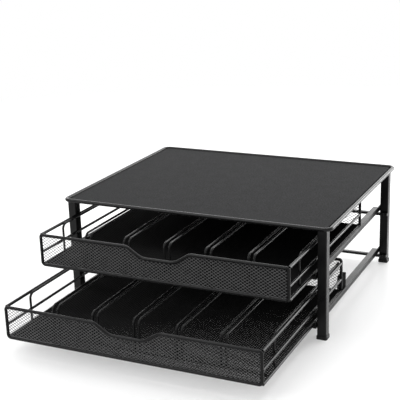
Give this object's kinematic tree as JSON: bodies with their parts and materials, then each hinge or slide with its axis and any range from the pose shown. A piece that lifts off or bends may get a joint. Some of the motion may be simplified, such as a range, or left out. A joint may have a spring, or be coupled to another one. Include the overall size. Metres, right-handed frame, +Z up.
{
  "type": "two-tier coffee pod drawer",
  "caption": "Flat-topped wire stand with two sliding mesh drawers divided into lanes that hold coffee pods upright.",
  "frame": {"origin": "on the table, under the middle of the whole object with both drawers as the picture shows them", "axes": "+X to the right across the drawer fronts, -Y the way the drawers come out, +Z up"},
  "size_m": [0.38, 0.4814, 0.148],
  "materials": {
    "mat_rubber": "matte",
    "foot_plastic": "matte",
    "bumper_rubber": "matte",
    "screw_steel": "satin",
    "mesh_steel": "satin",
    "drawer_wire": "satin",
    "frame_steel": "satin"
  },
  "bodies": {
    "stand": {"crossbar_screws": "screw_steel", "foot_front_left": "foot_plastic", "foot_front_right": "foot_plastic", "foot_rear_left": "foot_plastic", "foot_rear_right": "foot_plastic", "front_crossbar_lower": "frame_steel", "front_crossbar_upper": "frame_steel", "leg_front_left": "frame_steel", "leg_front_right": "frame_steel", "leg_rear_left": "frame_steel", "leg_rear_right": "frame_steel", "rail_lower_left": "frame_steel", "rail_lower_right": "frame_steel", "rail_upper_left": "frame_steel", "rail_upper_right": "frame_steel", "rear_crossbar_lower": "frame_steel", "rear_crossbar_upper": "frame_steel", "top_mat": "mat_rubber", "top_panel": "frame_steel", "top_rim": "frame_steel"},
    "lower_drawer": {"lower_floor_mesh": "mesh_steel", "lower_floor_wires": "drawer_wire", "lower_front_frame": "drawer_wire", "lower_front_mesh": "mesh_steel", "lower_lane_dividers": "drawer_wire", "lower_left_bottom_rod": "drawer_wire", "lower_left_mid_wire": "drawer_wire", "lower_left_rim": "drawer_wire", "lower_rear_bumper_left": "bumper_rubber", "lower_rear_bumper_right": "bumper_rubber", "lower_rear_frame": "drawer_wire", "lower_rear_mesh": "mesh_steel", "lower_right_bottom_rod": "drawer_wire", "lower_right_mid_wire": "drawer_wire", "lower_right_rim": "drawer_wire", "lower_side_lane_wires": "drawer_wire"},
    "upper_drawer": {"upper_floor_mesh": "mesh_steel", "upper_floor_wires": "drawer_wire", "upper_front_frame": "drawer_wire", "upper_front_mesh": "mesh_steel", "upper_lane_dividers": "drawer_wire", "upper_left_bottom_rod": "drawer_wire", "upper_left_mid_wire": "drawer_wire", "upper_left_rim": "drawer_wire", "upper_rear_frame": "drawer_wire", "upper_rear_mesh": "mesh_steel", "upper_right_bottom_rod": "drawer_wire", "upper_right_mid_wire": "drawer_wire", "upper_right_rim": "drawer_wire", "upper_side_lane_wires": "drawer_wire"}
  },
  "joints": [
    {"name": "upper_drawer_slide", "type": "slide", "parent": "stand", "child": "upper_drawer", "axis": [0, -1, 0], "range_m": [-0.0925, 0.135]},
    {"name": "lower_drawer_slide", "type": "slide", "parent": "stand", "child": "lower_drawer", "axis": [0, -1, 0], "range_m": [-0.177, 0.05]}
  ]
}
